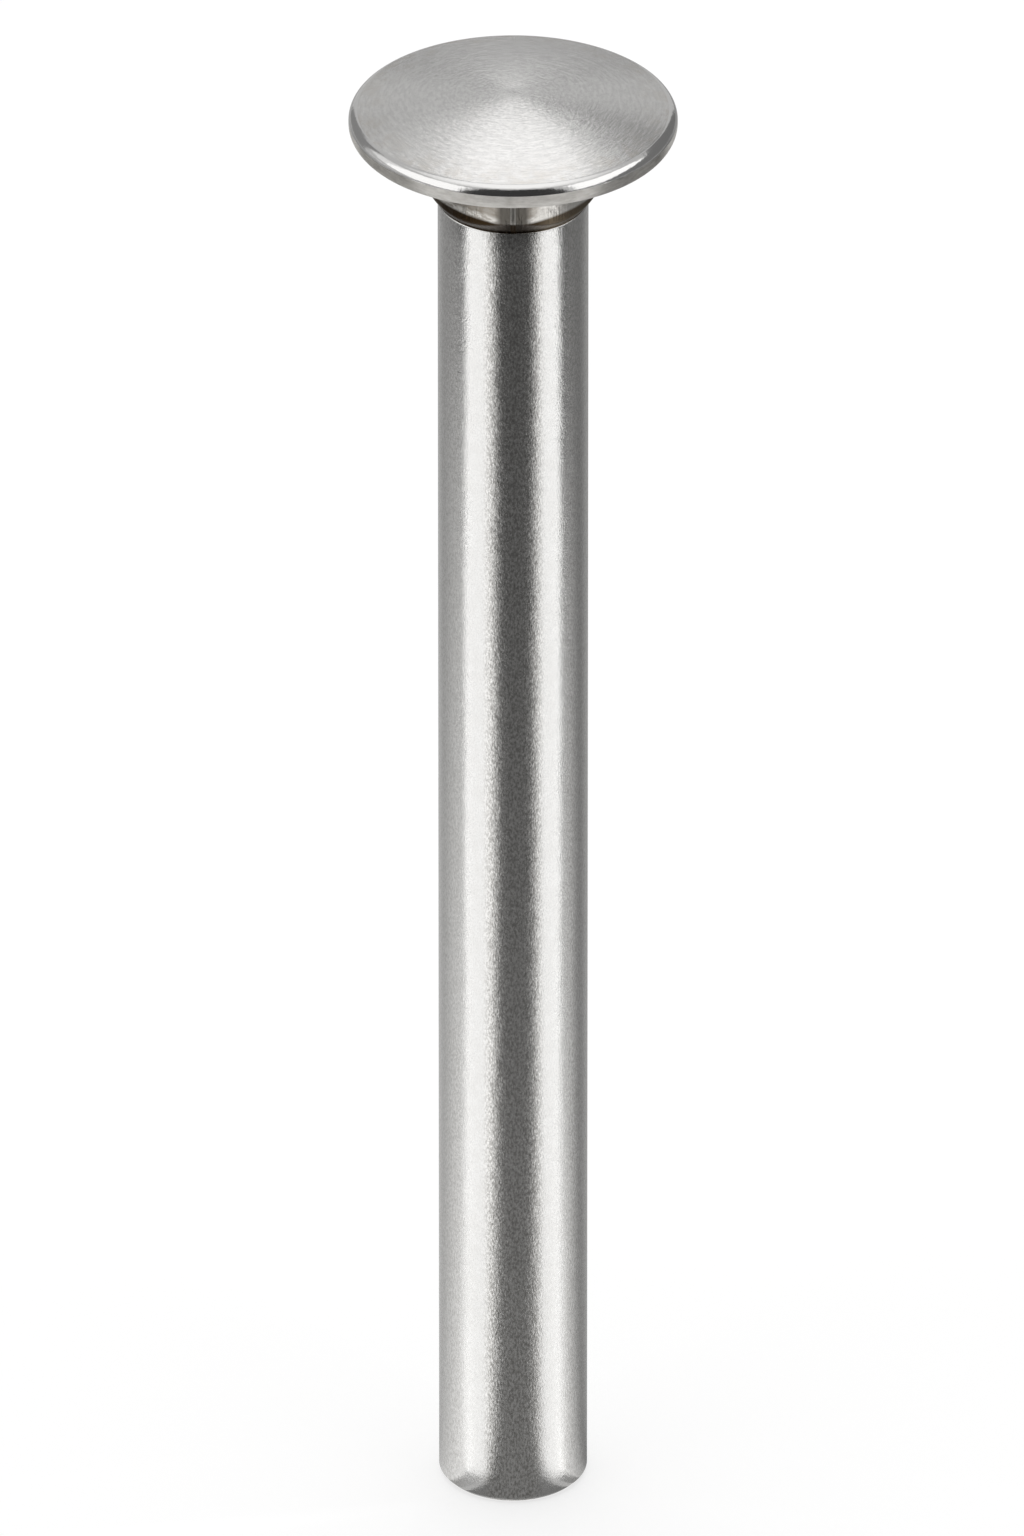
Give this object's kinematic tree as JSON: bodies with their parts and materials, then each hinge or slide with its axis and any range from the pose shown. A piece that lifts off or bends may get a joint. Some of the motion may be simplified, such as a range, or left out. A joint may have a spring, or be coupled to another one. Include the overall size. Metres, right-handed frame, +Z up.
{
  "type": "carriage bolt",
  "caption": "Plain steel carriage bolt: a low domed round head, a short square neck with crowned sides, and a long smooth unthreaded shank with a chamfered flat end.",
  "frame": {"origin": "centre of the flat end of the shank, on the surface the bolt stands on", "axes": "+Z up along the bolt's axis, from the flat end towards the head; one corner of the square neck faces -Y and one faces +X"},
  "size_m": [0.027, 0.027, 0.131],
  "materials": {
    "steel": "bare steel: head brushed in circles, edge polished, shank satin with a fine random grain, end turned flat"
  },
  "bodies": {
    "root": {"bolt": "steel"}
  },
  "joints": []
}
